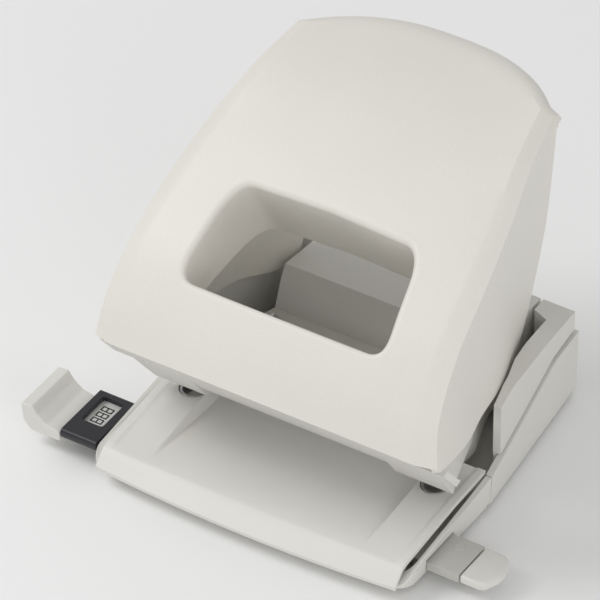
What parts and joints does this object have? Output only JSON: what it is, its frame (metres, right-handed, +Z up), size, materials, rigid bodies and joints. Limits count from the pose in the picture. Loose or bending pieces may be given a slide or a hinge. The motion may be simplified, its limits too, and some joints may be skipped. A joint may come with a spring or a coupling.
{
  "type": "two-hole desktop paper punch",
  "caption": "Compact desktop paper punch with a windowed sail-shaped lever, a sloping paper table and a sliding side guide with an end stop.",
  "frame": {"origin": "on the ground plane under the base, midway between the two punched holes", "axes": "+X to the operator's right along the line of the two holes, +Y away from the operator towards the hinge-side rear body, +Z up"},
  "size_m": [0.1509, 0.1198, 0.1069],
  "materials": {
    "shell_plastic": "satin light warm grey",
    "handle_plastic": "fine-grained satin off-white",
    "table_paint": "satin light grey paint",
    "black_plastic": "satin black",
    "guide_plastic": "satin mid grey",
    "label_paper": "printed light grey strip",
    "steel": "plain zinc-plated steel",
    "rubber": "matt dark grey"
  },
  "bodies": {
    "base": {"base_mat": "rubber", "base_plate": "steel", "base_shell": "shell_plastic", "die_bush_left": "steel", "die_bush_right": "steel", "format_window": "black_plastic", "front_skirt": "shell_plastic", "housing_left": "shell_plastic", "housing_right": "shell_plastic", "paper_table": "table_paint", "pin_guide_left": "steel", "pin_guide_right": "steel", "pin_spring_left": "steel", "pin_spring_right": "steel", "pivot_axle": "steel", "rear_block": "shell_plastic", "screw_front_left": "steel", "screw_front_right": "steel", "screw_rear_left": "steel", "screw_rear_right": "steel", "side_frame_left": "steel", "side_frame_right": "steel"},
    "handle": {"handle_shell": "handle_plastic", "press_arm_left": "steel", "press_arm_right": "steel", "pressure_bar": "steel"},
    "pin_left": {"punch_pin_left": "steel", "spring_cap_left": "steel"},
    "pin_right": {"punch_pin_right": "steel", "spring_cap_right": "steel"},
    "guide": {"format_strip": "label_paper", "guide_bar": "guide_plastic", "guide_end_cap": "shell_plastic", "guide_stop": "shell_plastic"},
    "tray": {"chip_tray": "shell_plastic", "rear_foot_left": "rubber", "rear_foot_right": "rubber"}
  },
  "joints": [
    {"name": "handle_press", "type": "hinge", "parent": "base", "child": "handle", "pos_m": [0, -0.0185, 0.044], "axis": [-1, 0, 0], "range_deg": [0, 21], "stiffness_Nm_per_rad": 0.5, "springref_deg": -20.05},
    {"name": "pin_left_travel", "type": "slide", "parent": "base", "child": "pin_left", "axis": [0, 0, -1], "range_m": [0, 0.0066], "deforming": ["pin_spring_left"]},
    {"name": "pin_right_travel", "type": "slide", "parent": "base", "child": "pin_right", "axis": [0, 0, -1], "range_m": [0, 0.0066], "deforming": ["pin_spring_right"]},
    {"name": "guide_slide", "type": "slide", "parent": "base", "child": "guide", "axis": [-1, 0, 0], "range_m": [0, 0.075]},
    {"name": "tray_slide", "type": "slide", "parent": "base", "child": "tray", "axis": [0, 1, 0], "range_m": [0, 0.055]}
  ],
  "couplings": [
    {"joint": "pin_left_travel", "follows": "handle_press", "m_per_rad": 0.0176},
    {"joint": "pin_right_travel", "follows": "handle_press", "m_per_rad": 0.0176}
  ]
}
